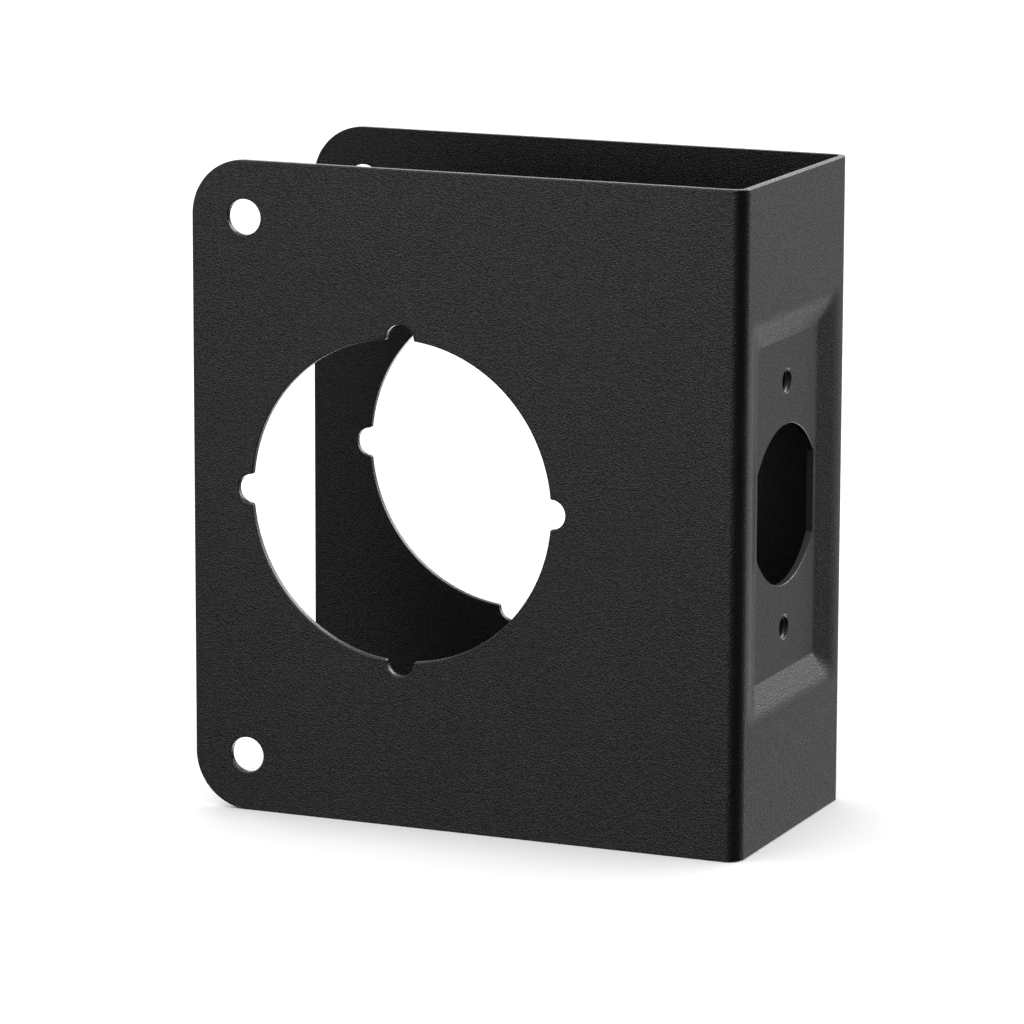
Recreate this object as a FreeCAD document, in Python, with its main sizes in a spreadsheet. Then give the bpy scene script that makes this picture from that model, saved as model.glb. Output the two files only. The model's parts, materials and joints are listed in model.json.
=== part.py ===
import FreeCAD, Part
import math
import os
import Sketcher

# A wrap-around lock reinforcement plate. One steel sheet is folded twice into a U that slips over
# the edge of a door: two square leaves, for the two faces of the door, and an edge panel between
# them. The panel has a pressed recess for the latch's faceplate, and the leaves have the lock bore.
# X runs from the free edges of the leaves to the edge panel, Y through the door, Z up. The origin
# is in the middle of the lower edges, on which the plate stands.

NODE = "wraparound_plate"

# Driving dimensions in millimetres: the cell's alias, the value, and what it measures.
DIMENSIONS = (
    ("plate_height", 110.2, "lower edge to upper edge"),
    ("door_thickness", 44.45, "the door that the plate is folded for"),
    ("door_clearance", 1.6, "play of the door between the leaves"),
    ("sheet_thickness", 1.2, "steel sheet with its coat"),
    ("bend_radius", 1.3, "inside radius of the two folds"),
    ("corner_radius", 9.5, "rounding of the free corners of the leaves"),
    ("backset", 60.3, "outer face of the edge panel to the centre of the lock bore"),
    ("bore_diameter", 54.0, "lock bore through both leaves"),
    ("bore_margin", 10.7, "rim of the bore to the free edges of the leaves"),
    ("notch_radius", 2.5, "round notches in the rim of the bore"),
    ("fixing_diameter", 6.0, "fixing holes at the free corners"),
    ("fixing_inset", 9.5, "centre of a fixing hole to both edges of its leaf"),
    ("recess_depth", 1.6, "outer face of the panel to the floor of the recess"),
    ("recess_floor_width", 26.5, "floor of the recess across the panel"),
    ("recess_floor_height", 55.6, "floor of the recess along the panel"),
    ("recess_margin", 4.5, "outer faces of the leaves to the rim of the recess"),
    ("recess_end_run", 5.2, "slope at the ends of the recess, measured along the panel"),
    ("shoulder_radius", 8.0, "outside radius where the panel turns down into the recess"),
    ("floor_edge_radius", 0.5, "outside radius at the foot of the slopes"),
    ("latch_width", 26.0, "latch opening between its two straight sides"),
    ("latch_height", 26.8, "latch opening between the tops of its two arcs"),
    ("latch_side_height", 14.0, "length of the straight sides of the latch opening"),
    ("latch_screw_diameter", 4.1, "tapped holes for the faceplate's two screws"),
    ("latch_screw_spacing", 41.3, "centre to centre of those two holes"),
)
SIZE = {alias: value for alias, value, meaning in DIMENSIONS}

# Expressions that several features share
OUTER_WIDTH = "(Sizes.backset + Sizes.bore_diameter / 2 + Sizes.bore_margin)"
OUTER_DEPTH = "(Sizes.door_thickness + Sizes.door_clearance + 2 * Sizes.sheet_thickness)"
OUTER_BEND = "(Sizes.bend_radius + Sizes.sheet_thickness)"
OUTER_FACE = f"{OUTER_WIDTH} / 2"
MIDDLE = "Sizes.plate_height / 2"
SIDE_RUN = f"({OUTER_DEPTH} / 2 - Sizes.recess_margin - Sizes.recess_floor_width / 2)"
LATCH_RISE = "((Sizes.latch_height - Sizes.latch_side_height) / 2)"
LATCH_ARC = f"((Sizes.latch_width / 2) ^ 2 + {LATCH_RISE} ^ 2) / (2 * {LATCH_RISE})"
PUNCH_LENGTH = "(Sizes.recess_depth + 3 * Sizes.sheet_thickness)"

# The same widths as numbers, for the first drawing of the sketches and for finding edges
HALF_WIDTH = (SIZE["backset"] + SIZE["bore_diameter"] / 2 + SIZE["bore_margin"]) / 2
HALF_DEPTH = (SIZE["door_thickness"] + SIZE["door_clearance"]) / 2 + SIZE["sheet_thickness"]
HALF_HEIGHT = SIZE["plate_height"] / 2

TOLERANCE = 1e-4


def fill_sheet(doc):
    """Writes each driving dimension into a cell of its own, with its alias and meaning."""
    sheet = doc.addObject("Spreadsheet::Sheet", "Sizes")
    for row, (alias, value, meaning) in enumerate(DIMENSIONS, 1):
        sheet.set(f"A{row}", alias)
        sheet.set(f"B{row}", str(value))
        sheet.setAlias(f"B{row}", alias)
        sheet.set(f"C{row}", meaning)
    doc.recompute()


def new_sketch(body, name, role, **offsets):
    """Adds a sketch on one of the body's origin planes, moved by expressions along its own axes."""
    sketch = body.newObject("Sketcher::SketchObject", name)
    plane = next(feature for feature in body.Origin.OriginFeatures if feature.Role == role)
    sketch.AttachmentSupport = [(plane, "")]
    sketch.MapMode = "FlatFace"
    for axis, expression in offsets.items():
        sketch.setExpression(f"AttachmentOffset.Base.{axis}", expression)
    return sketch


def bind(sketch, name, expression, *constraint):
    """Adds a named dimension to a sketch and ties it to an expression of the sheet."""
    index = sketch.addConstraint(Sketcher.Constraint(*constraint))
    sketch.renameConstraint(index, name)
    sketch.setExpression(f"Constraints.{name}", expression)


def add_outline(sketch, points):
    """Draws a closed outline of upright and level lines through the points."""
    corners = [FreeCAD.Vector(x, y, 0) for x, y in points]
    for first, second in zip(corners, corners[1:] + corners[:1]):
        line = sketch.addGeometry(Part.LineSegment(first, second), False)
        direction = "Vertical" if abs(first.x - second.x) < TOLERANCE else "Horizontal"
        sketch.addConstraint(Sketcher.Constraint(direction, line))
    for line in range(len(corners)):
        following = (line + 1) % len(corners)
        sketch.addConstraint(Sketcher.Constraint("Coincident", line, 2, following, 1))


def add_circle(sketch, x, y, radius, radius_expression):
    """Draws a circle whose radius is tied to the sheet, and returns its index."""
    centre = FreeCAD.Vector(x, y, 0)
    circle = sketch.addGeometry(Part.Circle(centre, FreeCAD.Vector(0, 0, 1), radius), False)
    bind(sketch, "radius", radius_expression, "Radius", circle, radius)
    return circle


def edges_where(feature, test):
    """Names the edges of a feature whose middle point and direction pass the test."""
    names = []
    for index, edge in enumerate(feature.Shape.Edges, 1):
        if not isinstance(edge.Curve, Part.Line):
            continue
        middle = edge.valueAt((edge.FirstParameter + edge.LastParameter) / 2)
        if test(middle, edge.tangentAt(edge.FirstParameter)):
            names.append(f"Edge{index}")
    return names


def add_fillet(body, name, edges, radius):
    """Rounds the named edges of the body's last feature with a radius tied to the sheet."""
    base = body.Tip
    fillet = body.newObject("PartDesign::Fillet", name)
    fillet.Base = (base, edges)
    fillet.setExpression("Radius", radius)
    body.Document.recompute()
    return fillet


def near(first, second):
    """Says whether two lengths are the same within the tolerance."""
    return abs(first - second) < TOLERANCE


def pierce(body, name, sketch, length=None):
    """Cuts a sketch through the sheet: a given length from its plane, or through both leaves."""
    before = body.Shape.Volume
    pocket = body.newObject("PartDesign::Pocket", name)
    pocket.Profile = sketch
    if length:
        pocket.Type = "Length"
        pocket.setExpression("Length", length)
    else:
        pocket.Type = "ThroughAll"
        pocket.SideType = "Symmetric"
    body.Document.recompute()
    if pocket.Shape.Volume > before - TOLERANCE:
        raise RuntimeError(f"{name} cuts nothing")
    return pocket


def repeat(body, name, feature, length):
    """Repeats a cut once more, the given expression further up."""
    before = body.Shape.Volume
    pattern = body.newObject("PartDesign::LinearPattern", name)
    pattern.Originals = [feature]
    upright = next(axis for axis in body.Origin.OriginFeatures if axis.Role == "Z_Axis")
    pattern.Direction = (upright, [""])
    pattern.setExpression("Length", length)
    pattern.Occurrences = 2
    body.Tip = pattern
    body.Document.recompute()
    if pattern.Shape.Volume > before - TOLERANCE:
        raise RuntimeError(f"{name} cuts nothing")
    return pattern


def add_folded_sheet(body):
    """Pads the U of the folded sheet, then rounds its folds and the free corners of its leaves."""
    right = HALF_WIDTH
    outer = HALF_DEPTH
    inner = outer - SIZE["sheet_thickness"]
    inner_right = right - SIZE["sheet_thickness"]

    sketch = new_sketch(body, "FoldSketch", "XY_Plane")
    add_outline(sketch, [
        (-right, -outer),
        (right, -outer),
        (right, outer),
        (-right, outer),
        (-right, inner),
        (inner_right, inner),
        (inner_right, -inner),
        (-right, -inner),
    ])
    sketch.addConstraint(Sketcher.Constraint("Equal", 3, 7))
    sketch.addConstraint(Sketcher.Constraint("Vertical", 0, 1, 2, 2))
    bind(sketch, "width", OUTER_WIDTH, "DistanceX", 0, 1, 0, 2, 2 * right)
    bind(sketch, "face", OUTER_FACE, "DistanceX", -1, 1, 1, 2, right)
    bind(sketch, "back", f"{OUTER_DEPTH} / 2", "DistanceY", -1, 1, 1, 2, outer)
    bind(sketch, "depth", OUTER_DEPTH, "DistanceY", 1, 1, 1, 2, 2 * outer)
    bind(sketch, "leaf", "Sizes.sheet_thickness", "DistanceY", 7, 2, 7, 1, SIZE["sheet_thickness"])
    bind(sketch, "panel", "Sizes.sheet_thickness", "DistanceX", 5, 1, 1, 2, SIZE["sheet_thickness"])
    body.Document.recompute()

    pad = body.newObject("PartDesign::Pad", "FoldedSheet")
    pad.Profile = sketch
    pad.setExpression("Length", "Sizes.plate_height")
    body.Document.recompute()

    def upright_at(position):
        return lambda middle, along: near(abs(along.z), 1) and near(middle.x, position)

    add_fillet(body, "OuterFolds", edges_where(body.Tip, upright_at(right)), OUTER_BEND)
    add_fillet(body, "InnerFolds", edges_where(body.Tip, upright_at(inner_right)), "Sizes.bend_radius")

    def at_free_corner(middle, along):
        return near(abs(along.y), 1) and near(middle.x, -right)

    add_fillet(body, "FreeCorners", edges_where(body.Tip, at_free_corner), "Sizes.corner_radius")


def add_recess_side(body, name, kind, behind):
    """Makes one side of the pressed recess as a wedge that narrows from its rim to its floor.

    The expression behind says how far this side of the sheet lies behind the panel's outer face.
    Mitred at the foot of the slopes, its floor and rim are narrower by as much of the thickness.
    """
    centre = {"X": "0", "Z": MIDDLE}
    floor_size = {"X": "Sizes.recess_floor_width", "Z": "Sizes.recess_floor_height"}
    run = {"X": SIDE_RUN, "Z": "Sizes.recess_end_run"}

    before = body.Shape.Volume
    wedge = body.newObject(kind, name)
    plane = next(feature for feature in body.Origin.OriginFeatures if feature.Role == "XY_Plane")
    wedge.AttachmentSupport = [(plane, "")]
    wedge.MapMode = "FlatFace"
    across_panel = FreeCAD.Rotation(FreeCAD.Vector(0, 0, 1), -90)
    wedge.AttachmentOffset = FreeCAD.Placement(FreeCAD.Vector(), across_panel)
    wedge.setExpression("Ymax", f"{OUTER_FACE} - {behind}")
    wedge.setExpression("Ymin", f"{OUTER_FACE} - {behind} - Sizes.recess_depth")
    for axis in ("X", "Z"):
        mitre = f"{behind} * tan(atan(Sizes.recess_depth / {run[axis]}) / 2)"
        for end, sign in (("min", "-"), ("max", "+")):
            floor = f"{centre[axis]} {sign} ({floor_size[axis]} / 2 - {mitre})"
            wedge.setExpression(f"{axis}{end}", floor)
            wedge.setExpression(f"{axis}2{end}", f"{floor} {sign} {run[axis]}")
    body.Document.recompute()
    if near(body.Shape.Volume, before):
        raise RuntimeError(f"{name} changes nothing")


def add_recess(body):
    """Presses the recess: a raised back behind the panel first, then the hollow in its face.

    Both sides are the same truncated pyramid, one sheet thickness apart, and each has its rim and
    its floor edge rounded, so that the sheet keeps its thickness all the way.
    """
    add_recess_side(body, "RecessBack", "PartDesign::AdditiveWedge", "Sizes.sheet_thickness")
    add_recess_side(body, "RecessHollow", "PartDesign::SubtractiveWedge", "0")

    thickness = SIZE["sheet_thickness"]
    half_across = HALF_DEPTH - SIZE["recess_margin"] + TOLERANCE
    half_along = SIZE["recess_floor_height"] / 2 + SIZE["recess_end_run"] + TOLERANCE

    def loop_at(depth):
        return lambda middle, along: near(middle.x, HALF_WIDTH - depth) \
            and abs(middle.y) < half_across and abs(middle.z - HALF_HEIGHT) < half_along

    rounds = (
        ("OuterShoulder", 0.0, "Sizes.shoulder_radius"),
        ("InnerShoulder", thickness, "Sizes.shoulder_radius - Sizes.sheet_thickness"),
        ("OuterFloorEdge", SIZE["recess_depth"], "Sizes.floor_edge_radius"),
        ("InnerFloorEdge", SIZE["recess_depth"] + thickness,
         "Sizes.floor_edge_radius + Sizes.sheet_thickness"),
    )
    for name, depth, radius in rounds:
        add_fillet(body, name, edges_where(body.Tip, loop_at(depth)), radius)


def add_latch_opening(body):
    """Cuts the latch opening through the recess's floor: two upright sides and two arcs."""
    half_width = SIZE["latch_width"] / 2
    half_side = SIZE["latch_side_height"] / 2
    rise = SIZE["latch_height"] / 2 - half_side
    radius = (half_width ** 2 + rise ** 2) / (2 * rise)
    centre_height = half_side + rise - radius
    spread = math.asin(half_width / radius)

    sketch = new_sketch(body, "LatchSketch", "YZ_Plane", y=MIDDLE, z=OUTER_FACE)
    upward = FreeCAD.Vector(0, 0, 1)
    for side in (1, -1):
        start = FreeCAD.Vector(side * half_width, -side * half_side, 0)
        end = FreeCAD.Vector(side * half_width, side * half_side, 0)
        sketch.addGeometry(Part.LineSegment(start, end), False)
        circle = Part.Circle(FreeCAD.Vector(0, side * centre_height, 0), upward, radius)
        middle = math.copysign(math.pi / 2, side)
        sketch.addGeometry(Part.ArcOfCircle(circle, middle - spread, middle + spread), False)
    for element in range(4):
        following = (element + 1) % 4
        sketch.addConstraint(Sketcher.Constraint("Coincident", element, 2, following, 1))
    for line in (0, 2):
        sketch.addConstraint(Sketcher.Constraint("Vertical", line))
    sketch.addConstraint(Sketcher.Constraint("Symmetric", 0, 1, 2, 1, -1, 1))
    sketch.addConstraint(Sketcher.Constraint("PointOnObject", 1, 3, -2))
    sketch.addConstraint(Sketcher.Constraint("Equal", 1, 3))
    bind(sketch, "side", "Sizes.latch_side_height", "DistanceY", 0, 1, 0, 2, 2 * half_side)
    bind(sketch, "width", "Sizes.latch_width", "DistanceX", 1, 2, 1, 1, 2 * half_width)
    bind(sketch, "arc", LATCH_ARC, "Radius", 1, radius)
    body.Document.recompute()
    pierce(body, "LatchOpening", sketch, PUNCH_LENGTH)


def add_latch_screw_holes(body):
    """Cuts the two tapped holes for the faceplate's screws, above and below the latch opening."""
    half_spacing = SIZE["latch_screw_spacing"] / 2
    sketch = new_sketch(body, "LatchScrewSketch", "YZ_Plane", y=MIDDLE, z=OUTER_FACE)
    circle = add_circle(sketch, 0, -half_spacing, SIZE["latch_screw_diameter"] / 2,
                        "Sizes.latch_screw_diameter / 2")
    sketch.addConstraint(Sketcher.Constraint("PointOnObject", circle, 3, -2))
    bind(sketch, "drop", "Sizes.latch_screw_spacing / 2", "DistanceY", circle, 3, -1, 1, half_spacing)
    body.Document.recompute()
    hole = pierce(body, "LowerLatchScrewHole", sketch, PUNCH_LENGTH)
    repeat(body, "LatchScrewHoles", hole, "Sizes.latch_screw_spacing")


def add_lock_bore(body):
    """Cuts the lock bore through both leaves, with four round notches spaced about its rim."""
    place = {"x": f"{OUTER_FACE} - Sizes.backset", "y": MIDDLE}
    bore_radius = SIZE["bore_diameter"] / 2

    bore_sketch = new_sketch(body, "BoreSketch", "XZ_Plane", **place)
    bore = add_circle(bore_sketch, 0, 0, bore_radius, "Sizes.bore_diameter / 2")
    bore_sketch.addConstraint(Sketcher.Constraint("Coincident", bore, 3, -1, 1))
    body.Document.recompute()
    pierce(body, "LockBore", bore_sketch)

    notch_sketch = new_sketch(body, "NotchSketch", "XZ_Plane", **place)
    notch = add_circle(notch_sketch, 0, bore_radius, SIZE["notch_radius"], "Sizes.notch_radius")
    notch_sketch.addConstraint(Sketcher.Constraint("PointOnObject", notch, 3, -2))
    bind(notch_sketch, "reach", "Sizes.bore_diameter / 2", "DistanceY", -1, 1, notch, 3, bore_radius)
    body.Document.recompute()
    top_notch = pierce(body, "TopNotch", notch_sketch)

    before = body.Shape.Volume
    notches = body.newObject("PartDesign::PolarPattern", "Notches")
    notches.Originals = [top_notch]
    notches.Axis = (notch_sketch, ["N_Axis"])
    notches.Angle = 360
    notches.Occurrences = 4
    body.Tip = notches
    body.Document.recompute()
    if notches.Shape.Volume > before - TOLERANCE:
        raise RuntimeError("Notches cuts nothing")


def add_fixing_holes(body):
    """Cuts a fixing hole at each free corner of both leaves."""
    inset = SIZE["fixing_inset"]
    sketch = new_sketch(body, "FixingSketch", "XZ_Plane", x=f"-{OUTER_FACE}")
    circle = add_circle(sketch, inset, inset, SIZE["fixing_diameter"] / 2, "Sizes.fixing_diameter / 2")
    bind(sketch, "across", "Sizes.fixing_inset", "DistanceX", -1, 1, circle, 3, inset)
    bind(sketch, "up", "Sizes.fixing_inset", "DistanceY", -1, 1, circle, 3, inset)
    body.Document.recompute()
    hole = pierce(body, "LowerFixingHoles", sketch)
    repeat(body, "FixingHoles", hole, "Sizes.plate_height - 2 * Sizes.fixing_inset")


def check_document(doc, body):
    """Stops if any object of the document failed, or if the plate isn't one valid solid."""
    for item in doc.Objects:
        if "Invalid" in item.State or "Error" in item.State:
            raise RuntimeError(f"{item.Name} failed: {item.State}")
    if body.Shape.isNull() or not body.Shape.isValid() or len(body.Shape.Solids) != 1:
        raise RuntimeError(f"{body.Label} isn't one valid solid")


def main():
    doc = FreeCAD.newDocument("LockReinforcementPlate")
    fill_sheet(doc)

    body = doc.addObject("PartDesign::Body", "Plate")
    body.Label = NODE
    body.Placement = FreeCAD.Placement()
    add_folded_sheet(body)
    add_recess(body)
    add_latch_opening(body)
    add_latch_screw_holes(body)
    add_lock_bore(body)
    add_fixing_holes(body)
    doc.recompute()
    check_document(doc, body)

    os.makedirs("parts", exist_ok=True)
    body.Shape.exportStep(f"parts/{body.Label}.step")
    box = body.Shape.BoundBox
    print(f"{body.Label}: {box.XLength:.2f} x {box.YLength:.2f} x {box.ZLength:.2f} mm, "
          f"{body.Shape.Volume:.1f} mm3, {len(body.Shape.Faces)} faces")


main()
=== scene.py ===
"""The looks of a folded lock reinforcement plate: its sheet, its powder coat and a plain studio."""

import json
import logging
import math
from dataclasses import dataclass, field
from enum import Enum

import bpy
import numpy as np
from mathutils import Euler, Matrix, Vector
from mathutils.geometry import delaunay_2d_cdt


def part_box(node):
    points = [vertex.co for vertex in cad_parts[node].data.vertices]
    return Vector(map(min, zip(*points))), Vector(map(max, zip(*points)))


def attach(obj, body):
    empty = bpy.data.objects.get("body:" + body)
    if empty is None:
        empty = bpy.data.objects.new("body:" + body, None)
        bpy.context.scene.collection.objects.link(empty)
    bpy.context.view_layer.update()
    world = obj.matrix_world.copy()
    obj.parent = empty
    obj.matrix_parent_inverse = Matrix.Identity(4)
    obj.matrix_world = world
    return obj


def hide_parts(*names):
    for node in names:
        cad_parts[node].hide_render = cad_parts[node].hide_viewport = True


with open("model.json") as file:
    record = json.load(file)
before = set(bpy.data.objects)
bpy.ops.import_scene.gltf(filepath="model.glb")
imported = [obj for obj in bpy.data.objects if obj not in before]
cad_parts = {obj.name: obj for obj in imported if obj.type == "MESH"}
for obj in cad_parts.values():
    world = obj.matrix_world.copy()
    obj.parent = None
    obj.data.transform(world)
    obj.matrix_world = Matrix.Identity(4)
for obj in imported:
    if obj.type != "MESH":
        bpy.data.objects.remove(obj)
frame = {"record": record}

MM = 0.001
NODE = "wraparound_plate"
SLOT = "black_powder_coat"
BODY = "root"
QUARTER_TURN = math.pi / 2
FULL_TURN = 2 * math.pi
ACROSS = np.array((1.0, 0.0))
UPWARD = np.array((0.0, 1.0))
PANEL_NORMAL = np.array((1.0, 0.0, 0.0))
VERTICAL = np.array((0.0, 0.0, 1.0))
CHORD_GAP = 0.002 * MM      # how far a chord may lie from the arc that it stands for
WELD_GAP = 0.0001 * MM      # points nearer than this are one vertex
FEWEST_CHORDS = 4           # an arc has at least this many
NOISE_RANGE = (0.3, 0.7)    # nearly all of a noise's values lie between these

Place = tuple[float, float]
Feed = bpy.types.NodeSocket | float | tuple[float, ...]

log = logging.getLogger("plate")


def mount(name: str) -> dict:
    """Finds one of the part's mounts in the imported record.

    Args:
        name: The mount's name.

    Returns:
        The mount, with its place in pos_m and its sizes in dims.
    """
    return next(entry for entry in frame["record"]["mounts"] if entry["name"] == name)


@dataclass
class Outline:
    """A run of points in the flat pattern, each with its direction out of the metal.

    The metal lies on the right of the run, so holes run anticlockwise and the sheet clockwise.
    """

    points: np.ndarray
    outward: np.ndarray

    def inset(self, distance: float) -> np.ndarray:
        """Moves every point into the metal by a distance."""
        return self.points - distance * self.outward

    def moved(self, centre: Place) -> "Outline":
        """Gives the same run about another centre."""
        return Outline(self.points + np.array(centre), self.outward)

    def mirrored(self, axis: np.ndarray) -> "Outline":
        """Gives the run mirrored along an axis and walked the other way round."""
        flip = 1 - 2 * axis
        return Outline((self.points * flip)[::-1], (self.outward * flip)[::-1])

    def reversed(self) -> "Outline":
        """Gives the same run walked the other way round."""
        return Outline(self.points[::-1], self.outward[::-1])


def arc(centre: Place, radius: float, start: float, end: float, hollow: bool = True) -> Outline:
    """Draws an arc: centre + radius * (cos, sin) of the angle, which goes evenly from start to end.

    Args:
        centre: Centre of the arc in the flat pattern.
        radius: Radius of the arc.
        start: First angle, anticlockwise from the pattern's first axis.
        end: Last angle.
        hollow: True where the metal is outside the arc, as round a hole.

    Returns:
        The arc's points, from start to end, with their directions out of the metal.
    """
    widest = 2 * math.acos(1 - CHORD_GAP / radius)
    steps = max(FEWEST_CHORDS, math.ceil(abs(end - start) / widest))
    angle = np.linspace(start, end, steps + 1)
    spoke = np.stack((np.cos(angle), np.sin(angle)), axis=1)
    return Outline(np.array(centre) + radius * spoke, -spoke if hollow else spoke)


def line(start: Place, end: Place, steps: int, outward: np.ndarray) -> Outline:
    """Draws a straight run: (1 - share) * start + share * end, with the share even from 0 to 1.

    Args:
        start: First point.
        end: Last point.
        steps: Number of equal parts.
        outward: Direction out of the metal, the same all along.

    Returns:
        The run's points, from start to end.
    """
    share = np.linspace(0.0, 1.0, steps + 1)[:, None]
    points = (1 - share) * np.array(start) + share * np.array(end)
    return Outline(points, np.tile(outward, (steps + 1, 1)))


def closed(*runs: Outline) -> Outline:
    """Joins runs that follow each other into one closed run, with no point twice.

    Args:
        runs: The runs, the last of which ends where the first begins.

    Returns:
        The whole run, which doesn't repeat its first point.
    """
    return Outline(np.concatenate([run.points[:-1] for run in runs]),
                   np.concatenate([run.outward[:-1] for run in runs]))


def chain(*runs: Outline) -> Outline:
    """Joins runs that follow each other into one open run, with no point twice.

    Args:
        runs: The runs, each of which begins where the one before it ends.

    Returns:
        The whole run, with both its ends.
    """
    before, last = closed(*runs), runs[-1]
    return Outline(np.vstack((before.points, last.points[-1:])),
                   np.vstack((before.outward, last.outward[-1:])))


@dataclass
class Patch:
    """A piece of surface: its points, their normals, its faces, and where it lies on a cut edge.

    The cut share is 0 on the sheet's faces and 1 on its cut walls. The inner share is 0 on the
    outer face and 1 on the inner one. The rim place is the distance along the cut edge and the
    depth below the outer face.
    """

    points: np.ndarray
    normals: np.ndarray
    faces: np.ndarray
    cut: np.ndarray
    inner: np.ndarray
    rim: np.ndarray


def grid_faces(rows: int, columns: int, ring: bool) -> np.ndarray:
    """Lists the quads of a grid of points, numbered row by row.

    Args:
        rows: Number of rows.
        columns: Number of points in a row.
        ring: True where the last row joins the first.

    Returns:
        The quads, each from its point along the column, then along the row.
    """
    row = np.arange(rows if ring else rows - 1)[:, None]
    column = np.arange(columns - 1)[None, :]
    after = (row + 1) % rows
    corners = (row * columns + column, after * columns + column,
               after * columns + column + 1, row * columns + column + 1)
    return np.stack(corners, axis=-1).reshape(-1, 4)


def ring_normals(points: np.ndarray) -> np.ndarray:
    """Works out the normals of a grid whose last row joins its first.

    The normal is the cross product of the slopes: along the columns, then along the rows.

    Args:
        points: Grid of points, rows by columns by 3.

    Returns:
        The unit normals.
    """
    down = np.roll(points, -1, axis=0) - np.roll(points, 1, axis=0)
    crossed = np.cross(down, np.gradient(points, axis=1))
    return crossed / np.linalg.norm(crossed, axis=-1, keepdims=True)


def inside(places: np.ndarray, loop: np.ndarray) -> np.ndarray:
    """Tells which places a closed run goes round.

    A level ray from such a place crosses the run an odd number of times.

    Args:
        places: Flat points to test.
        loop: The run's points.

    Returns:
        True for each place inside.
    """
    here, there = loop[None], np.roll(loop, -1, axis=0)[None]
    spot = places[:, None]
    straddles = (here[..., 1] > spot[..., 1]) != (there[..., 1] > spot[..., 1])
    rise = np.where(straddles, there[..., 1] - here[..., 1], 1.0)
    crossing = here[..., 0] + (spot[..., 1] - here[..., 1]) * (there[..., 0] - here[..., 0]) / rise
    return (straddles & (spot[..., 0] < crossing)).sum(axis=1) % 2 == 1


def fill_flat(loops: list[np.ndarray]) -> np.ndarray:
    """Fills a flat outline less its holes with triangles.

    Args:
        loops: The outline first, then each hole, as closed runs of flat points in metres.

    Returns:
        The triangles, anticlockwise, as places in the joined list of points.
    """
    starts = np.cumsum([0] + [len(loop) for loop in loops[:-1]])
    places = [start + np.arange(len(loop)) for start, loop in zip(starts, loops)]
    edges = np.concatenate([np.stack((place, np.roll(place, -1)), axis=1) for place in places])
    points = np.concatenate(loops) / MM
    inner_triangles, snap = 1, WELD_GAP / MM
    found = delaunay_2d_cdt(points.tolist(), edges.tolist(), [], inner_triangles, snap)
    source = np.array([origins[0] for origins in found[3]])
    triangles = source[np.array(found[2])]
    centres = points[triangles].mean(axis=1)
    in_a_hole = np.any([inside(centres, loop / MM) for loop in loops[1:]], axis=0)
    triangles = triangles[~in_a_hole]
    first, second, third = (points[triangles[:, corner]] for corner in range(3))
    a, b = second - first, third - first
    backward = a[:, 0] * b[:, 1] - a[:, 1] * b[:, 0] < 0
    triangles[backward] = triangles[backward][:, ::-1]
    return triangles


@dataclass(frozen=True)
class EdgeForm:
    """The section of a cut edge: rolled over on the outer face, square with a small burr inside."""

    roll: float = 0.22 * MM
    burr: float = 0.12 * MM
    steps: int = 4
    wall_steps: int = 6

    def section(self, thickness: float) -> tuple[np.ndarray, np.ndarray, np.ndarray]:
        """Works out the section as a quarter round, a straight wall and a quarter round.

        Args:
            thickness: Thickness of the sheet.

        Returns:
            For each point its reach out of the metal from the flat face's last point, its depth
            below the outer face, and its tilt from the outer face's normal.
        """
        turn = np.linspace(0.0, QUARTER_TURN, self.steps + 1)
        wall = np.linspace(self.roll, thickness - self.burr, self.wall_steps + 1)[1:-1]
        back = turn[::-1]
        reach = np.concatenate((self.roll * np.sin(turn), np.full(len(wall), self.roll),
                                self.roll - self.burr + self.burr * np.sin(back), [0.0]))
        depth = np.concatenate((self.roll * (1 - np.cos(turn)), wall,
                                thickness - self.burr * (1 - np.cos(back)), [thickness]))
        tilt = np.concatenate((turn, np.full(len(wall), QUARTER_TURN), math.pi - back, [math.pi]))
        return reach, depth, tilt


@dataclass(frozen=True)
class Thread:
    """The thread of a tapped hole, as a helical ridge on its wall."""

    pitch: float = 0.79 * MM
    height: float = 0.36 * MM
    lead_in: float = 0.14 * MM
    root_share: float = 0.26

    def ridge(self, angle: np.ndarray, depth: np.ndarray, thickness: float) -> np.ndarray:
        """Works out how far the ridge stands in from the wall.

        The height falls evenly from the crest to the root and rises again once in a pitch. The
        crest moves down by a pitch in a turn, and the ridge dies out towards both faces.

        Args:
            angle: Angle round the hole.
            depth: Depth below the outer face.
            thickness: Thickness of the sheet.

        Returns:
            The height of the ridge at each point.
        """
        phase = depth / self.pitch - angle / FULL_TURN
        from_crest = 1 - 2 * np.abs(phase - np.floor(phase) - 0.5)
        profile = 1 - np.clip(from_crest / (1 - self.root_share), 0.0, 1.0)
        from_face = np.minimum(depth, thickness - depth)
        share = np.clip(from_face / self.lead_in - 1, 0.0, 1.0)
        return self.height * profile * share


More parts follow.
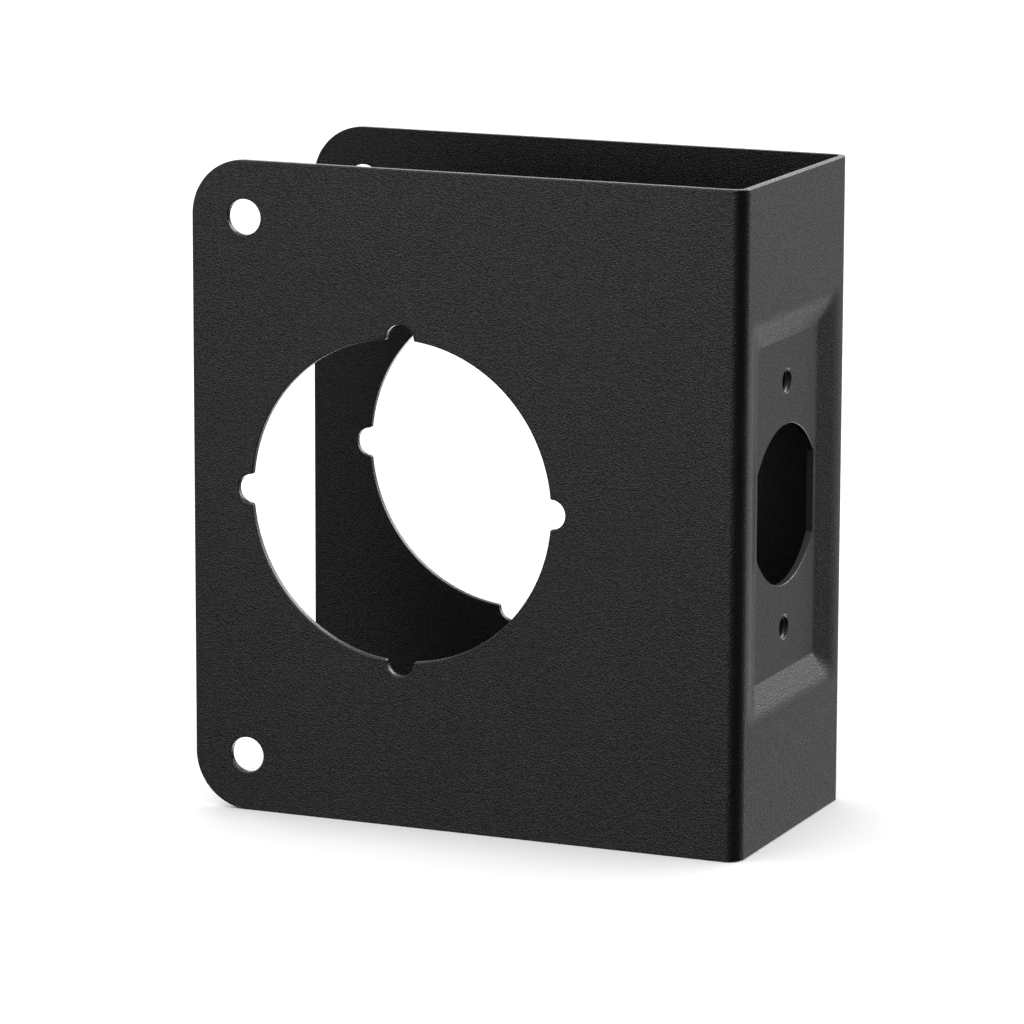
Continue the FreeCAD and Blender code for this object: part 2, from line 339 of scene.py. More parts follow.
@dataclass(frozen=True)
class Fold:
    """How the flat pattern folds into a U: a panel, a round fold on each side, and two leaves."""

    half_width: float
    half_depth: float
    radius: float

    @property
    def panel_half(self) -> float:
        """Half the width of the flat panel between the folds."""
        return self.half_depth - self.radius

    @property
    def leaf_start(self) -> float:
        """Distance along the pattern from the panel's middle to the end of a fold."""
        return self.panel_half + self.radius * QUARTER_TURN

    @property
    def leaf_end(self) -> float:
        """Distance along the pattern from the panel's middle to a leaf's free edge."""
        return self.leaf_start + 2 * self.half_width - self.radius

    def across_leaf(self, place: float) -> float:
        """Gives the pattern's first coordinate of a place along X on a leaf."""
        return self.leaf_start + self.half_width - self.radius - place

    def axes(self, flat: np.ndarray) -> tuple[np.ndarray, np.ndarray, np.ndarray]:
        """Folds points of the pattern.

        A point past the panel turns round the fold by its distance over the radius, up to a quarter
        turn, and what is left of its distance runs straight along the leaf.

        Args:
            flat: Points of the pattern: the way round the U, and the height.

        Returns:
            The points on the outer face, its normals, and the directions of the way round the U.
        """
        way, height = flat[:, 0], flat[:, 1]
        side = np.where(way < 0, -1.0, 1.0)
        beyond = np.maximum(np.abs(way) - self.panel_half, 0.0)
        turn = np.minimum(beyond / self.radius, QUARTER_TURN)
        straight = beyond - self.radius * turn
        x = self.half_width - self.radius * (1 - np.cos(turn)) - straight
        y = side * (np.minimum(np.abs(way), self.panel_half) + self.radius * np.sin(turn))
        normals = np.stack((np.cos(turn), side * np.sin(turn), np.zeros_like(turn)), axis=1)
        along = np.stack((-side * np.sin(turn), np.cos(turn), np.zeros_like(turn)), axis=1)
        return np.stack((x, y, height), axis=1), normals, along


@dataclass(frozen=True)
class Recess:
    """The pressed recess of the edge panel, as one section carried round its floor."""

    floor_width: float = 26.5 * MM
    floor_height: float = 55.6 * MM
    margin: float = 4.5 * MM
    end_run: float = 5.2 * MM
    flat_margin: float = 0.06 * MM
    side_foot: float = 4.0 * MM
    side_shoulder: float = 12.0 * MM
    end_foot: float = 0.5 * MM
    end_shoulder: float = 8.0 * MM
    floor_corner: float = 0.15 * MM
    rim_corner: float = 3.6 * MM
    foot_steps: int = 6
    slope_steps: int = 8
    slope_rounds: int = 6
    shoulder_steps: int = 10
    corner_steps: int = 10

    def section(self, run: float, depth: float, foot: float,
                shoulder: float) -> tuple[np.ndarray, np.ndarray]:
        """Works out a slope's section: a round foot, a straight slope and a round shoulder.

        The foot starts a little within the floor's edge. Its tangents meet the length of
        foot * tan(slope / 2) further out, and the slope rises from there to the rim, so
        tan(slope) = depth / (run + flat_margin - foot * tan(slope / 2)).

        Args:
            run: Length from the floor's edge to the rim, before the shoulder is rounded.
            depth: Depth of the floor.
            foot: Radius of the foot.
            shoulder: Radius of the shoulder.

        Returns:
            For each point its reach out from the floor's edge, and its depth.
        """
        slope = 0.0
        for _ in range(self.slope_rounds):
            slope = math.atan2(depth, run + self.flat_margin - foot * math.tan(slope / 2))
        up = np.linspace(0.0, slope, self.foot_steps + 1)
        down = np.linspace(slope, 0.0, self.shoulder_steps + 1)
        reach_in = foot * np.sin(up) - self.flat_margin
        depth_in = depth - foot * (1 - np.cos(up))
        reach_out = run + shoulder * (math.tan(slope / 2) - np.sin(down))
        depth_out = shoulder * (1 - np.cos(down))
        share = np.linspace(0.0, 1.0, self.slope_steps + 1)[1:-1]
        reach_between = reach_in[-1] + share * (reach_out[0] - reach_in[-1])
        depth_between = depth_in[-1] + share * (depth_out[0] - depth_in[-1])
        return (np.concatenate((reach_in, reach_between, reach_out)),
                np.concatenate((depth_in, depth_between, depth_out)))

    def surface(self, side_run: float, depth: float, middle: float) -> tuple[np.ndarray, np.ndarray]:
        """Carries the section round a rectangle whose corners open from the floor to the rim.

        Each ring of points is a rounded rectangle. Its corner radius grows with the share of the
        run that it has come, and its depth goes over from the sides' section to the ends' with the
        square of the sine of the corner's angle.

        Args:
            side_run: Length of the slopes at the sides.
            depth: Depth of the floor.
            middle: Height of the recess's middle.

        Returns:
            The flat points, anticlockwise round the floor and each time from it out to the rim,
            and their depths.
        """
        side_reach, side_depth = self.section(side_run, depth, self.side_foot, self.side_shoulder)
        end_reach, end_depth = self.section(self.end_run, depth, self.end_foot, self.end_shoulder)
        share = (side_reach - side_reach[0]) / (side_reach[-1] - side_reach[0])
        corner = self.floor_corner + share * (self.rim_corner - self.floor_corner)
        swing = np.linspace(0.0, QUARTER_TURN, self.corner_steps + 1)
        angle = np.concatenate([quarter * QUARTER_TURN + swing for quarter in range(4)])[:, None]
        quarter = np.repeat(np.arange(4), self.corner_steps + 1)[:, None]
        to_right = np.where((quarter == 0) | (quarter == 3), 1.0, -1.0)
        to_top = np.where(quarter < 2, 1.0, -1.0)
        across = to_right * (self.floor_width / 2 + side_reach - corner) + corner * np.cos(angle)
        upward = to_top * (self.floor_height / 2 + end_reach - corner) + corner * np.sin(angle)
        blend = np.sin(angle) ** 2
        depths = (1 - blend) * side_depth + blend * end_depth
        return np.stack((across, upward + middle), axis=-1), depths


class Side(Enum):
    """A side of the plate, as its sign along Y."""

    FRONT = -1
    BACK = 1


@dataclass
class FoldedPlate:
    """The whole plate: one sheet, folded, pressed and pierced, as one closed surface."""

    half_width: float
    half_depth: float
    height: float
    floor_face: float
    bore_place: float
    bore_radius: float
    fixing_place: float
    fixing_spacing: float
    fixing_radius: float
    screw_spacing: float
    screw_radius: float
    thickness: float = 1.2 * MM
    fold_radius: float = 2.5 * MM
    corner_radius: float = 9.5 * MM
    notch_radius: float = 2.5 * MM
    notch_lip: float = 0.3 * MM
    latch_width: float = 26.0 * MM
    latch_height: float = 26.8 * MM
    latch_side: float = 14.0 * MM
    latch_corner: float = 0.35 * MM
    edge: EdgeForm = EdgeForm()
    floor_edge: EdgeForm = EdgeForm(roll=0.15 * MM)
    tapped_edge: EdgeForm = EdgeForm(roll=0.15 * MM, wall_steps=24)
    thread: Thread = Thread()
    recess: Recess = Recess()
    fold_steps: int = 16
    rows: int = 8
    straight_steps: int = 4
    patches: list[Patch] = field(default_factory=list)

    @classmethod
    def from_frame(cls) -> "FoldedPlate":
        """Takes the plate's box and the places of its holes from the frame.

        Returns:
            The plate, with no surface yet.
        """
        low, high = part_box(NODE)
        bore, fixing, screws = (
            mount(name) for name in ("lock_bore", "front_fixing_holes", "latch_screws")
        )
        return cls(
            half_width=(high.x - low.x) / 2,
            half_depth=(high.y - low.y) / 2,
            height=high.z - low.z,
            floor_face=screws["pos_m"][0],
            bore_place=bore["pos_m"][0],
            bore_radius=bore["dims"]["r_mm"] * MM,
            fixing_place=fixing["pos_m"][0],
            fixing_spacing=fixing["dims"]["spacing_y_mm"] * MM,
            fixing_radius=fixing["dims"]["hole_r_mm"] * MM,
            screw_spacing=screws["dims"]["spacing_y_mm"] * MM,
            screw_radius=screws["dims"]["hole_r_mm"] * MM,
        )

    @property
    def fold(self) -> Fold:
        """The fold of this plate's flat pattern."""
        return Fold(self.half_width, self.half_depth, self.fold_radius)

    @property
    def middle(self) -> float:
        """Half the plate's height."""
        return self.height / 2

    @property
    def recess_depth(self) -> float:
        """Depth of the recess's floor below the panel's outer face."""
        return self.half_width - self.floor_face

    def place(self, flat: np.ndarray,
              depth: np.ndarray | float = 0.0) -> tuple[np.ndarray, np.ndarray, np.ndarray]:
        """Folds flat points and sets them below the outer face.

        Args:
            flat: Points of the flat pattern.
            depth: How far each point is pressed in.

        Returns:
            The points in space, the fold's normals and the directions of the way round the U.
        """
        points, normals, along = self.fold.axes(flat)
        return points - np.reshape(depth, (-1, 1)) * normals, normals, along

    def add_skins(self, points: np.ndarray, normals: np.ndarray, faces: np.ndarray) -> None:
        """Adds a patch of the outer face, and of the inner face one thickness below it.

        Args:
            points: Points of the outer face.
            normals: Its normals.
            faces: Its faces, anticlockwise from outside.
        """
        none, whole = np.zeros(len(points)), np.ones(len(points))
        nowhere = np.zeros((len(points), 3))
        below = points - self.thickness * normals
        self.patches.append(Patch(points, normals, faces, none, none, nowhere))
        self.patches.append(Patch(below, -normals, faces[:, ::-1], none, whole, nowhere))

    def add_flat(self, loops: list[np.ndarray], depth: float = 0.0) -> None:
        """Adds a flat stretch of the sheet, given by its outline and its holes in the pattern."""
        points, normals, _ = self.place(np.concatenate(loops), depth)
        self.add_skins(points, normals, fill_flat(loops))

    def add_rim(self, outline: Outline, edge: EdgeForm, depth: float = 0.0,
                thread: Thread | None = None) -> None:
        """Carries the section of a cut edge along an outline.

        A point of the surface is the outline's point moved in by the roll, plus the section's reach
        in the direction out of the metal, less its depth along the outer face's normal.

        Args:
            outline: The edge, closed, with the metal on its right.
            edge: The section's form.
            depth: Depth of the sheet's outer face there.
            thread: The thread on the wall, where the hole is tapped.
        """
        start, normals, along = self.place(outline.inset(edge.roll), depth)
        outward = outline.outward[:, :1] * along + outline.outward[:, 1:] * VERTICAL
        reach, below, tilt = edge.section(self.thickness)
        shape = (len(start), len(reach), 3)
        out, normal = outward[:, None], normals[:, None]
        points = start[:, None] + reach[:, None] * out - below[:, None] * normal
        slants = np.broadcast_to(np.cos(tilt)[:, None] * normal + np.sin(tilt)[:, None] * out, shape)
        if thread is not None:
            spokes = outline.points - outline.points.mean(axis=0)
            angle = np.arctan2(spokes[:, 1:], spokes[:, :1])
            points = points + thread.ridge(angle, below[None, :], self.thickness)[..., None] * out
            on_wall = (below > edge.roll) & (below < self.thickness - edge.burr)
            slants = np.where(on_wall[None, :, None], ring_normals(points), slants)
        travelled = np.cumsum(np.linalg.norm(start - np.roll(start, 1, axis=0), axis=1))
        rim = np.stack(np.broadcast_arrays(travelled[:, None], below[None, :], 0.0), axis=-1)
        cut = np.broadcast_to(np.sin(tilt) ** 2, shape[:2])
        inner = np.broadcast_to(below / self.thickness, shape[:2])
        faces = grid_faces(*shape[:2], ring=True)
        self.patches.append(Patch(points.reshape(-1, 3), slants.reshape(-1, 3), faces,
                                  cut.ravel(), inner.ravel(), rim.reshape(-1, 3)))

    def leaf_border(self) -> Outline:
        """Draws the back leaf's border, from the foot of its fold round its free edge to the top.

        Returns:
            The border, anticlockwise, open along the fold.
        """
        radius, start, end = self.corner_radius, self.fold.leaf_start, self.fold.leaf_end
        corner, low, high = end - radius, radius, self.height - radius
        return chain(
            line((start, 0.0), (corner, 0.0), self.straight_steps, -UPWARD),
            arc((corner, low), radius, -QUARTER_TURN, 0.0, hollow=False),
            line((end, low), (end, high), self.rows, ACROSS),
            arc((corner, high), radius, 0.0, QUARTER_TURN, hollow=False),
            line((corner, self.height), (start, self.height), self.straight_steps, UPWARD),
        )

    def panel_end(self, height: float, outward: np.ndarray) -> Outline:
        """Draws the top or bottom edge between the leaves, from the back fold to the front one.

        Args:
            height: Height of the edge.
            outward: Direction out of the metal.

        Returns:
            The edge, with points all round both folds.
        """
        half, start = self.fold.panel_half, self.fold.leaf_start
        return chain(
            line((start, height), (half, height), self.fold_steps, outward),
            line((half, height), (-half, height), self.straight_steps, outward),
            line((-half, height), (-start, height), self.fold_steps, outward),
        )

    def sheet_outline(self) -> Outline:
        """Draws the flat pattern's whole outline.

        Returns:
            The outline, clockwise.
        """
        leaf = self.leaf_border()
        top = self.panel_end(self.height, UPWARD)
        bottom = self.panel_end(0.0, -UPWARD).reversed()
        return closed(leaf, top, leaf.mirrored(ACROSS), bottom).reversed()

    def bore_outline(self) -> Outline:
        """Draws the notched lock bore about its own centre.

        Each notch is a circle centred on the bore's rim. Where the two circles meet, a small lip
        touches both: its centre is a lip's radius outside each of them.

        Returns:
            The outline, anticlockwise.
        """
        bore, notch, lip = self.bore_radius, self.notch_radius, self.notch_lip
        far, near = bore + lip, notch + lip
        swing = math.acos((far ** 2 + bore ** 2 - near ** 2) / (2 * far * bore))
        open_half = math.atan2(far * math.sin(swing), far * math.cos(swing) - bore)
        runs = []
        for quarter in range(4):
            heading = quarter * QUARTER_TURN
            first, last = heading - swing, heading + swing
            opening, shutting = heading - open_half, heading + open_half
            runs += [
                arc((far * math.cos(first), far * math.sin(first)), lip,
                    first + math.pi, opening + math.pi, hollow=False),
                arc((bore * math.cos(heading), bore * math.sin(heading)), notch, opening, shutting),
                arc((far * math.cos(last), far * math.sin(last)), lip,
                    shutting - math.pi, last - math.pi, hollow=False),
                arc((0.0, 0.0), bore, last, heading + QUARTER_TURN - swing),
            ]
        return closed(*runs)

    def latch_outline(self) -> Outline:
        """Draws the latch opening: two upright sides and two arcs, with small rounds between them.

        Each round touches the side and the arc from within, so its centre is its own radius in
        from the side, and the arc's radius less its own from the arc's centre.

        Returns:
            The outline, anticlockwise.
        """
        half, side, small = self.latch_width / 2, self.latch_side / 2, self.latch_corner
        rise = self.latch_height / 2 - side
        radius = (half ** 2 + rise ** 2) / (2 * rise)
        centre = side + rise - radius
        x = half - small
        y = centre + math.sqrt((radius - small) ** 2 - x ** 2)
        lean = math.atan2(y - centre, x)
        runs = []
        for turn, sign in ((0.0, 1), (math.pi, -1)):
            runs += [
                line((sign * half, -sign * y), (sign * half, sign * y), self.rows, -sign * ACROSS),
                arc((sign * x, sign * y), small, turn, turn + lean),
                arc((0.0, sign * centre), radius, turn + lean, turn + math.pi - lean),
                arc((-sign * x, sign * y), small, turn + math.pi - lean, turn + math.pi),
            ]
        return closed(*runs)

    def round_holes(self, way: float, spacing: float, radius: float) -> list[Outline]:
        """Draws a pair of round holes, one above the other about the middle.

        Args:
            way: Their place the way round the U.
            spacing: Distance between their centres.
            radius: Their radius.

        Returns:
            The lower hole's outline and the upper one's.
        """
        heights = (self.middle - spacing / 2, self.middle + spacing / 2)
        return [closed(arc((way, height), radius, 0.0, FULL_TURN)) for height in heights]

    def build_leaf(self, side: Side) -> None:
        """Builds a leaf: its flat faces, and the walls of its bore and fixing holes.

        Args:
            side: The side of the plate that the leaf is on.
        """
        sign, roll, fold = side.value, self.edge.roll, self.fold
        border = self.leaf_border().inset(roll)
        ladder = np.linspace(self.height - roll, roll, self.rows + 1)[1:-1]
        seam = np.stack((np.full(len(ladder), fold.leaf_start), ladder), axis=1)
        loop = np.concatenate((border, seam)) * np.array((sign, 1.0))
        bore = self.bore_outline().moved((sign * fold.across_leaf(self.bore_place), self.middle))
        fixings = self.round_holes(sign * fold.across_leaf(self.fixing_place), self.fixing_spacing,
                                   self.fixing_radius)
        holes = [bore, *fixings]
        self.add_flat([loop] + [hole.inset(roll) for hole in holes])
        for hole in holes:
            self.add_rim(hole, self.edge)

    def build_fold(self, side: Side) -> None:
        """Builds the round fold between the panel and a leaf as a grid of its way round and height.

        Args:
            side: The side of the plate that the fold is on.
        """
        fold, sign = self.fold, side.value
        way = sign * np.linspace(fold.panel_half, fold.leaf_start, self.fold_steps + 1)[::sign]
        height = np.linspace(self.edge.roll, self.height - self.edge.roll, self.rows + 1)
        flat = np.stack(np.meshgrid(way, height, indexing="ij"), axis=-1).reshape(-1, 2)
        points, normals, _ = self.place(flat)
        self.add_skins(points, normals, grid_faces(len(way), len(height), ring=False))

    def build_panel(self) -> None:
        """Builds the edge panel: its flat frame, the recess, and the recess's pierced floor."""
        fold, roll = self.fold, self.edge.roll
        side_run = self.half_depth - self.recess.margin - self.recess.floor_width / 2
        flat, depths = self.recess.surface(side_run, self.recess_depth, self.middle)
        rings = flat.shape[1]
        points, _, _ = self.place(flat.reshape(-1, 2), depths.ravel())
        grid = points.reshape(-1, rings, 3)
        normals = -ring_normals(grid)
        normals[:, (0, -1)] = PANEL_NORMAL
        faces = grid_faces(len(grid), rings, ring=True)[:, ::-1]
        self.add_skins(points, normals.reshape(-1, 3), faces)

        low, high, half = roll, self.height - roll, fold.panel_half
        corners = ((-half, low), (half, low), (half, high), (-half, high))
        counts = (self.straight_steps, self.rows, self.straight_steps, self.rows)
        sides = [line(corners[side], corners[(side + 1) % 4], counts[side], UPWARD) for side in range(4)]
        self.add_flat([closed(*sides).points, flat[:, -1]])

        latch = self.latch_outline().moved((0.0, self.middle))
        screws = self.round_holes(0.0, self.screw_spacing, self.screw_radius)
        insets = [hole.inset(self.floor_edge.roll) for hole in (latch, *screws)]
        self.add_flat([flat[:, 0]] + insets, self.recess_depth)
        self.add_rim(latch, self.floor_edge, self.recess_depth)
        for screw in screws:
            self.add_rim(screw, self.tapped_edge, self.recess_depth, self.thread)

    def weld(self, name: str) -> bpy.types.Object:
        """Joins the patches into one closed mesh, with one vertex wherever two of them meet.

        Args:
            name: Name of the object.

        Returns:
            The object, with smooth faces and the surface's own normals.
        """
        points = np.concatenate([patch.points for patch in self.patches])
        starts = np.cumsum([0] + [len(patch.points) for patch in self.patches[:-1]])
        _, first, shared = np.unique(np.round(points / WELD_GAP).astype(np.int64), axis=0,
                                     return_index=True, return_inverse=True)
        shared = shared.ravel()
        faces = [face for patch, start in zip(self.patches, starts)
                 for face in shared[patch.faces + start].tolist()]
        mesh = bpy.data.meshes.new(name)
        mesh.from_pydata(points[first].tolist(), [], faces)
        for label in ("cut", "inner"):
            shares = np.concatenate([getattr(patch, label) for patch in self.patches])[first]
            mesh.attributes.new(label, "FLOAT", "POINT").data.foreach_set("value", shares)
        rim = np.concatenate([patch.rim for patch in self.patches])[first]
        mesh.attributes.new("rim", "FLOAT_VECTOR", "POINT").data.foreach_set("vector", rim.ravel())
        mesh.shade_smooth()
        normals = np.concatenate([patch.normals for patch in self.patches])[first]
        mesh.normals_split_custom_set_from_vertices(normals.tolist())
        piece = bpy.data.objects.new(name, mesh)
        bpy.context.scene.collection.objects.link(piece)
        return piece

    def build(self) -> bpy.types.Object:
        """Builds the plate from its panel, folds, leaves and outer edge.

        Returns:
            The plate's object.
        """
        self.build_panel()
        for side in Side:
            self.build_fold(side)
            self.build_leaf(side)
        self.add_rim(self.sheet_outline(), self.edge)
        return self.weld("folded_plate")

    def dress(self, piece: bpy.types.Object, coat: "PowderCoat") -> None:
        """Gives the plate its coat, hangs it under its body's empty, and hides the imported part.

        Args:
            piece: The plate's object.
            coat: The finish.
        """
        piece.data.materials.append(coat.make())
        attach(piece, BODY)
        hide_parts(NODE)


class Nodes:
    """Lays out the nodes of a material or of the world, and joins them."""

    def __init__(self, owner: bpy.types.Material | bpy.types.World) -> None:
        """Empties the owner's tree.

        Args:
            owner: The material or world.
        """
        owner.use_nodes = True
        self.tree = owner.node_tree
        self.tree.nodes.clear()

    def add(self, kind: str, inputs: dict[str | int, Feed] | None = None,
            **settings: object) -> bpy.types.Node:
        """Adds a node.

        Args:
            kind: The node's type.
            inputs: For each input a plain value or another node's output.
            settings: Values of the node's own properties.

        Returns:
            The node.
        """
        node = self.tree.nodes.new(kind)
        for name, value in settings.items():
            setattr(node, name, value)
        for name, value in (inputs or {}).items():
            if isinstance(value, bpy.types.NodeSocket):
                self.tree.links.new(value, node.inputs[name])
            else:
                node.inputs[name].default_value = value
        return node

    def math(self, operation: str, *values: Feed) -> bpy.types.NodeSocket:
        """Works out one step of arithmetic."""
        return self.add("ShaderNodeMath", dict(enumerate(values)), operation=operation).outputs[0]

    def spread(self, value: Feed, start: Feed, end: Feed, low: Feed, high: Feed,
               curve: str = "LINEAR") -> bpy.types.NodeSocket:
        """Maps a value from the range start to end onto the range low to high, and holds it there."""
        inputs = {"Value": value, "From Min": start, "From Max": end, "To Min": low, "To Max": high}
        return self.add("ShaderNodeMapRange", inputs, interpolation_type=curve).outputs[0]

    def mix(self, kind: str, share: Feed, first: Feed, second: Feed) -> bpy.types.NodeSocket:
        """Mixes two values or two colours."""
        inputs = {"Factor": share, "A": first, "B": second}
        return self.add("ShaderNodeMix", inputs, data_type=kind).outputs["Result"]

    def noise(self, place: Feed, size: float, detail: float,
              roughness: float = 0.5) -> bpy.types.NodeSocket:
        """Adds a noise texture whose largest cells have the given size."""
        inputs = {"Vector": place, "Scale": 1 / size, "Detail": detail, "Roughness": roughness}
        return self.add("ShaderNodeTexNoise", inputs).outputs["Fac"]

    def bump(self, height: Feed, distance: float, normal: Feed | None = None) -> bpy.types.NodeSocket:
        """Turns a height into a slanted normal.

        Args:
            height: The height, from 0 to 1.
            distance: The relief that a height of 1 stands for.
            normal: The normal to slant, where it isn't the surface's own.

        Returns:
            The slanted normal.
        """
        inputs = {"Height": height, "Distance": distance}
        if normal is not None:
            inputs["Normal"] = normal
        return self.add("ShaderNodeBump", inputs).outputs["Normal"]

    def surface(self, inputs: dict[str | int, Feed]) -> None:
        """Ends a material with its surface shader."""
        shader = self.add("ShaderNodeBsdfPrincipled", inputs)
        self.add("ShaderNodeOutputMaterial", {"Surface": shader.outputs["BSDF"]})


@dataclass(frozen=True)
class PowderCoat:
    """Black powder coat with a fine leathery grain, less glossy inside and smoother on the cut edges;
    its inner face is coloured darker, which is painted shade standing for the shade inside the U.

    The grain is in relief and in the gloss, which it raises and lowers by the share grain_gloss. Its
    cells are drawn out along Y, across the panel, to 1 / grain_draw of their size.
    """

    dark: tuple[float, float, float] = (0.0085, 0.0085, 0.009)
    light: tuple[float, float, float] = (0.0115, 0.0115, 0.012)
    # painted shade: the darker colour given to the inner face, standing for the shade inside the U
    inner_painted_shade: tuple[float, float, float] = (0.003, 0.003, 0.0032)
    edge_tint: tuple[float, float, float] = (0.04, 0.04, 0.041)
    smooth: float = 0.28
    rough: float = 0.30
    edge_roughness: float = 0.22
    outer_gloss: float = 0.5
    inner_gloss: float = 0.3
    grain_size: float = 0.21 * MM
    grain_relief: float = 0.07 * MM
    grain_gloss: float = 0.5
    grain_draw: float = 0.5
    grain_detail: float = 1.0
    mottle_size: float = 2.2 * MM
    mottle_detail: float = 3.0
    mottle_roughness: float = 0.6
    cloud_size: float = 14.0 * MM
    cloud_detail: float = 3.0
    streak_width: float = 0.16 * MM
    streak_length: float = 1.3 * MM
    streak_relief: float = 0.03 * MM
    streak_detail: float = 2.0

    def make(self) -> bpy.types.Material:
        """Makes the material.

        Returns:
            The material: a grain, mottled roughness, clouds of colour, and streaks down the cut
            walls.
        """
        material = bpy.data.materials.new(SLOT)
        nodes = Nodes(material)
        place = nodes.add("ShaderNodeTexCoord").outputs["Object"]
        cut = nodes.add("ShaderNodeAttribute", attribute_name="cut").outputs["Fac"]
        rim = nodes.add("ShaderNodeAttribute", attribute_name="rim").outputs["Vector"]
        inner = nodes.add("ShaderNodeAttribute", attribute_name="inner").outputs["Fac"]

        cloud = nodes.noise(place, self.cloud_size, self.cloud_detail)
        clouds = nodes.spread(cloud, *NOISE_RANGE, 0.0, 1.0)
        tint = nodes.mix("RGBA", clouds, (*self.dark, 1.0), (*self.light, 1.0))
        # painted shade: the inner face takes the darker colour, standing for the shade that falls inside
        # the U
        tint_with_inner_shade = nodes.mix("RGBA", inner, tint, (*self.inner_painted_shade, 1.0))
        colour = nodes.mix("RGBA", cut, tint_with_inner_shade, (*self.edge_tint, 1.0))

        mottle = nodes.noise(place, self.mottle_size, self.mottle_detail, self.mottle_roughness)
        coat_roughness = nodes.spread(mottle, *NOISE_RANGE, self.smooth, self.rough)
        roughness = nodes.mix("FLOAT", cut, coat_roughness, self.edge_roughness)

        draw = (1.0, self.grain_draw, 1.0)
        drawn = nodes.add("ShaderNodeMapping", {"Vector": place, "Scale": draw}).outputs["Vector"]
        grain = nodes.noise(drawn, self.grain_size, self.grain_detail)
        grained = nodes.bump(grain, self.grain_relief)
        plain_gloss = nodes.mix("FLOAT", inner, self.outer_gloss, self.inner_gloss)
        shading = nodes.spread(grain, *NOISE_RANGE, 1 - self.grain_gloss, 1 + self.grain_gloss)
        gloss = nodes.math("MULTIPLY", plain_gloss, shading)

        stretch = (1.0, self.streak_width / self.streak_length, 1.0)
        down_wall = nodes.add("ShaderNodeMapping", {"Vector": rim, "Scale": stretch}).outputs["Vector"]
        streak = nodes.noise(down_wall, self.streak_width, self.streak_detail)
        streaks = nodes.math("MULTIPLY", streak, cut)
        normal = nodes.bump(streaks, self.streak_relief, grained)
        nodes.surface({"Base Color": colour, "Roughness": roughness, "Specular IOR Level": gloss,
                       "Normal": normal})
        return material


@dataclass(frozen=True)
class FloorPaper:
    """Matt white paper with a faint tooth."""

    white: tuple[float, float, float] = (0.93, 0.93, 0.93)
    roughness: float = 0.9
    gloss: float = 0.2
    tooth_size: float = 0.6 * MM
    tooth_relief: float = 0.002 * MM
    tooth_detail: float = 2.0

    def make(self) -> bpy.types.Material:
        """Makes the material.

        Returns:
            The material, with a faint relief.
        """
        material = bpy.data.materials.new("pale_floor")
        nodes = Nodes(material)
        place = nodes.add("ShaderNodeTexCoord").outputs["Object"]
        tooth = nodes.noise(place, self.tooth_size, self.tooth_detail)
        normal = nodes.bump(tooth, self.tooth_relief)
        nodes.surface({"Base Color": (*self.white, 1.0), "Roughness": self.roughness,
                       "Specular IOR Level": self.gloss, "Normal": normal})
        return material


@dataclass(frozen=True)
class Card:
    """A soft-edged white card on the studio's wall, round as seen from the plate.

    Its bearing is anticlockwise from +X and its lift above level. It is evenly bright out to the
    angle full from its middle and has faded away at the angle faded, all in degrees.
    """

    bearing: float
    lift: float
    strength: float
    full: float = 6.0
    faded: float = 36.0

    @property
    def heading(self) -> tuple[float, float, float]:
        """The direction from the plate to the card's middle."""
        bearing, lift = math.radians(self.bearing), math.radians(self.lift)
        return math.cos(lift) * math.cos(bearing), math.cos(lift) * math.sin(bearing), math.sin(lift)

    def shine(self, nodes: Nodes, direction: Feed) -> bpy.types.NodeSocket:
        """Works out the card's brightness from the cosine of the angle to its middle.

        Args:
            nodes: The world's nodes.
            direction: The direction looked in.

        Returns:
            The brightness.
        """
        dot = nodes.add("ShaderNodeVectorMath", {0: direction, 1: self.heading}, operation="DOT_PRODUCT")
        outer, inner = math.cos(math.radians(self.faded)), math.cos(math.radians(self.full))
        return nodes.spread(dot.outputs["Value"], outer, inner, 0.0, self.strength, "SMOOTHSTEP")


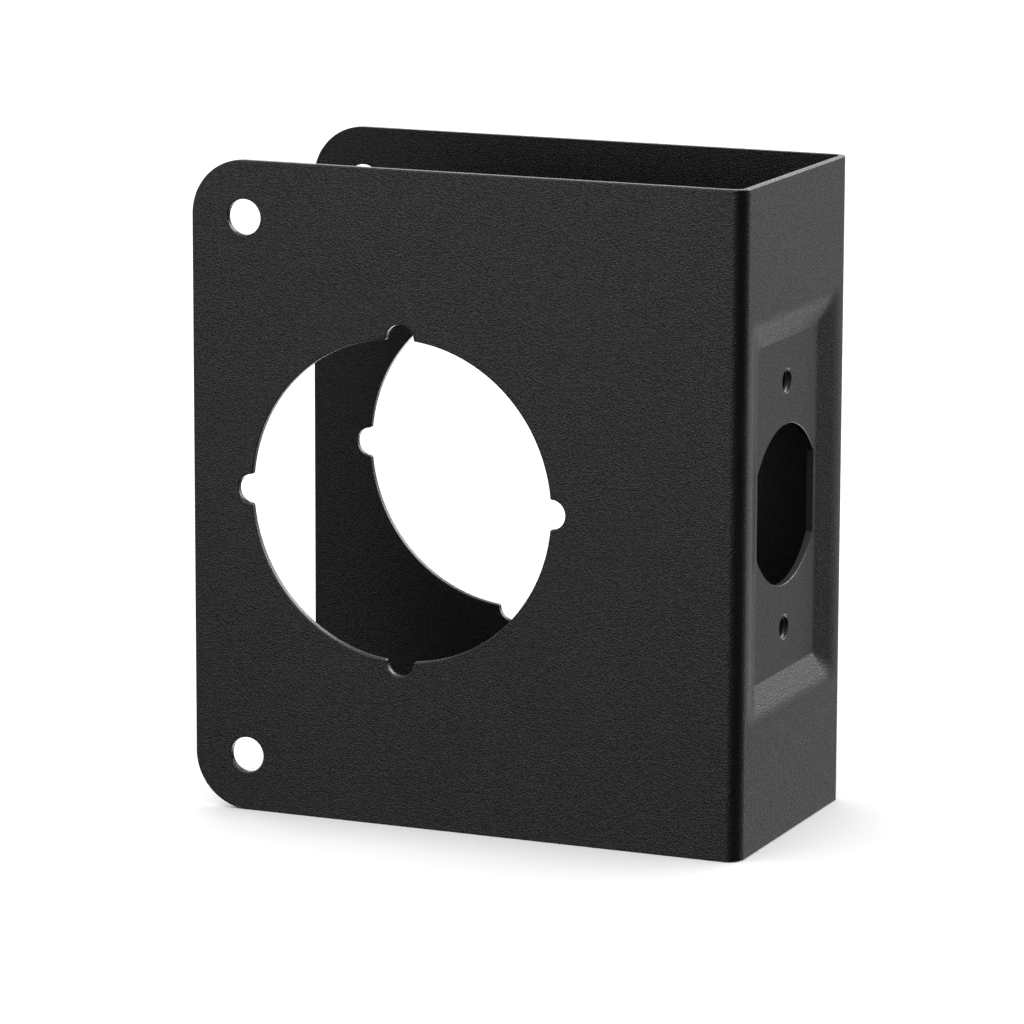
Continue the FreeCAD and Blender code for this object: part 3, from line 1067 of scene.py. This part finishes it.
@dataclass(frozen=True)
class Studio:
    """The pale floor, the soft cards on the walls, the top light and the camera.

    The camera's place and angles were fitted to the photograph. All angles are in degrees.
    """

    cards: tuple[Card, ...] = (
        Card(bearing=60, lift=35, strength=6.4),
        Card(bearing=60, lift=15, strength=0.9),
        Card(bearing=60, lift=-55, strength=4.0),
        Card(bearing=90, lift=-55, strength=2.4),
        Card(bearing=100, lift=-30, strength=1.2),
        Card(bearing=120, lift=-8, strength=1.8),
        Card(bearing=30, lift=5, strength=0.25, faded=30.0),
        Card(bearing=-90, lift=35, strength=2.5),
        Card(bearing=-110, lift=15, strength=1.9),
    )
    wall: float = 0.02
    top_strength: float = 4.5
    top_spread: float = 120.0
    floor_half: float = 4.0
    camera_place: tuple[float, float, float] = (0.3633017, -0.8500303, 0.2333788)
    camera_yaw: float = 23.2289
    camera_pitch: float = 11.2241
    camera_roll: float = 0.1845
    lens: float = 197.31
    sensor: float = 36.0

    def floor(self) -> None:
        """Lays the floor at the plate's lower edges, where only the camera sees it."""
        half = self.floor_half
        mesh = bpy.data.meshes.new("floor")
        mesh.from_pydata([(-half, -half, 0), (half, -half, 0), (half, half, 0), (-half, half, 0)],
                         [], [(0, 1, 2, 3)])
        mesh.materials.append(FloorPaper().make())
        piece = bpy.data.objects.new("floor", mesh)
        piece.visible_glossy = False
        piece.visible_diffuse = False
        bpy.context.scene.collection.objects.link(piece)

    def surroundings(self) -> None:
        """Hangs the cards before a dark wall, seen only in the gloss; the camera sees plain white."""
        world = bpy.data.worlds.new("studio")
        bpy.context.scene.world = world
        nodes = Nodes(world)
        direction = nodes.add("ShaderNodeTexCoord").outputs["Generated"]
        shine = self.wall
        for card in self.cards:
            shine = nodes.math("ADD", shine, card.shine(nodes, direction))
        lit = nodes.add("ShaderNodeBackground", {"Strength": shine})
        seen = nodes.add("ShaderNodeBackground", {"Color": (1.0, 1.0, 1.0, 1.0)})
        to_camera = nodes.add("ShaderNodeLightPath").outputs["Is Camera Ray"]
        both = nodes.add("ShaderNodeMixShader", {0: to_camera, 1: lit.outputs[0], 2: seen.outputs[0]})
        nodes.add("ShaderNodeOutputWorld", {"Surface": both.outputs[0]})
        world.cycles_visibility.diffuse = False

    def top_light(self) -> None:
        """Hangs a wide soft light straight above, which isn't mirrored in the plate."""
        light = bpy.data.lights.new("top_light", "SUN")
        light.energy = self.top_strength
        light.angle = math.radians(self.top_spread)
        lamp = bpy.data.objects.new("top_light", light)
        lamp.visible_glossy = False
        bpy.context.scene.collection.objects.link(lamp)

    def camera(self) -> None:
        """Sets the camera at the photograph's viewing angle."""
        data = bpy.data.cameras.new("camera")
        data.lens = self.lens
        data.sensor_width = self.sensor
        data.dof.use_dof = False
        piece = bpy.data.objects.new("camera", data)
        yaw, pitch = math.radians(self.camera_yaw), math.radians(self.camera_pitch)
        turn = Euler((QUARTER_TURN - pitch, 0.0, yaw)).to_matrix()
        roll = Matrix.Rotation(math.radians(self.camera_roll), 3, "Z")
        piece.matrix_world = Matrix.Translation(Vector(self.camera_place)) @ (turn @ roll).to_4x4()
        bpy.context.scene.collection.objects.link(piece)
        bpy.context.scene.camera = piece

    def build(self) -> None:
        """Builds the studio round the plate."""
        self.floor()
        self.surroundings()
        self.top_light()
        self.camera()
        view = bpy.context.scene.view_settings
        view.view_transform = "Standard"
        view.look = "None"


def main() -> None:
    """Builds the plate, dresses it and sets up the studio."""
    logging.basicConfig(level=logging.INFO, format="%(name)s: %(message)s")
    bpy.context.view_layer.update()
    plate = FoldedPlate.from_frame()
    piece = plate.build()
    plate.dress(piece, PowderCoat())
    log.info("%s: %d vertices, %d faces", piece.name, len(piece.data.vertices), len(piece.data.polygons))
    Studio().build()
    log.info("studio: %d lights, %d cards", len(bpy.data.lights), len(Studio.cards))


if __name__ == "__main__":
    main()
